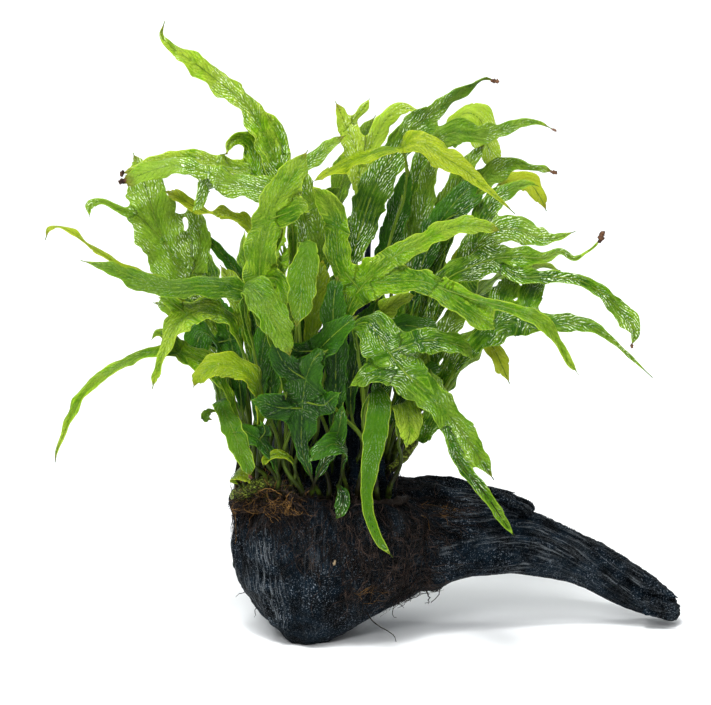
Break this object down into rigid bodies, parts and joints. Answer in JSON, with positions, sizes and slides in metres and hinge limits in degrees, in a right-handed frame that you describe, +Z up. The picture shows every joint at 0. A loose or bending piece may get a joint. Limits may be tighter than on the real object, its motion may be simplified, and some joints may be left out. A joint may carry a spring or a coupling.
{
  "type": "java fern on driftwood",
  "caption": "Java fern with long wavy, lobed fronds rising from creeping rhizomes that are rooted to a dark piece of driftwood with one low branch.",
  "frame": {"origin": "middle of the flat foot of the driftwood's stump, on the floor", "axes": "+Z up, +X along the low branch, +Y to the back, away from the side the fronds lean to"},
  "size_m": [0.2492, 0.1787, 0.2427],
  "materials": {
    "driftwood": "matt, charred looking",
    "rhizome": "scaly, satin",
    "roots": "matt fibres",
    "frond_fresh": "glossy",
    "frond_mid": "glossy",
    "frond_dark": "glossy",
    "frond_yellow": "glossy"
  },
  "bodies": {
    "root": {"driftwood_stump": "driftwood", "driftwood_branch": "driftwood", "driftwood_upright": "driftwood", "rhizome_front": "rhizome", "rhizome_middle": "rhizome", "rhizome_back": "rhizome", "roots_right": "roots", "roots_left": "roots", "root_hanging": "roots", "frond_tall_left": "frond_fresh", "frond_left_arch": "frond_mid", "frond_left_arch_upper": "frond_fresh", "frond_beaded_left": "frond_yellow", "frond_left_fan": "frond_mid", "frond_far_left_thread": "frond_yellow", "frond_left_strap": "frond_mid", "frond_low_left_tail": "frond_fresh", "frond_low_left_lobed": "frond_fresh", "frond_left_blunt": "frond_yellow", "frond_left_hanging": "frond_fresh", "frond_young_leaf": "frond_yellow", "frond_centre_bright": "frond_fresh", "frond_nodding_centre": "frond_fresh", "frond_olive_hanging": "frond_mid", "frond_low_fan": "frond_dark", "frond_dark_strap": "frond_dark", "frond_low_dark": "frond_dark", "frond_centre_fan": "frond_fresh", "frond_tall_right": "frond_mid", "frond_pale_fork": "frond_fresh", "frond_yellow_strap": "frond_yellow", "frond_right_pointed": "frond_mid", "frond_right_loop": "frond_fresh", "frond_right_curled": "frond_mid", "frond_right_bright": "frond_yellow", "frond_right_dark": "frond_dark", "frond_right_silver": "frond_mid", "frond_right_lobed": "frond_mid", "frond_drooping_right": "frond_mid", "frond_hanging_strap": "frond_fresh", "frond_low_right_curl": "frond_fresh", "frond_right_wide": "frond_mid", "frond_shade_left": "frond_dark", "frond_inner_yellow": "frond_yellow", "frond_dark_right": "frond_dark", "frond_yellow_oval": "frond_yellow", "frond_thin_top": "frond_mid", "frond_inner_right": "frond_mid", "frond_pale_inner": "frond_fresh", "frond_rolled_left": "frond_dark", "frond_back_left": "frond_mid", "frond_back_low_left": "frond_mid", "frond_back_mid_left": "frond_fresh", "frond_back_tall": "frond_mid", "frond_back_mid": "frond_mid", "frond_back_low_mid": "frond_dark", "frond_back_right": "frond_mid", "frond_back_low_right": "frond_fresh", "frond_side_right": "frond_fresh"}
  },
  "joints": []
}
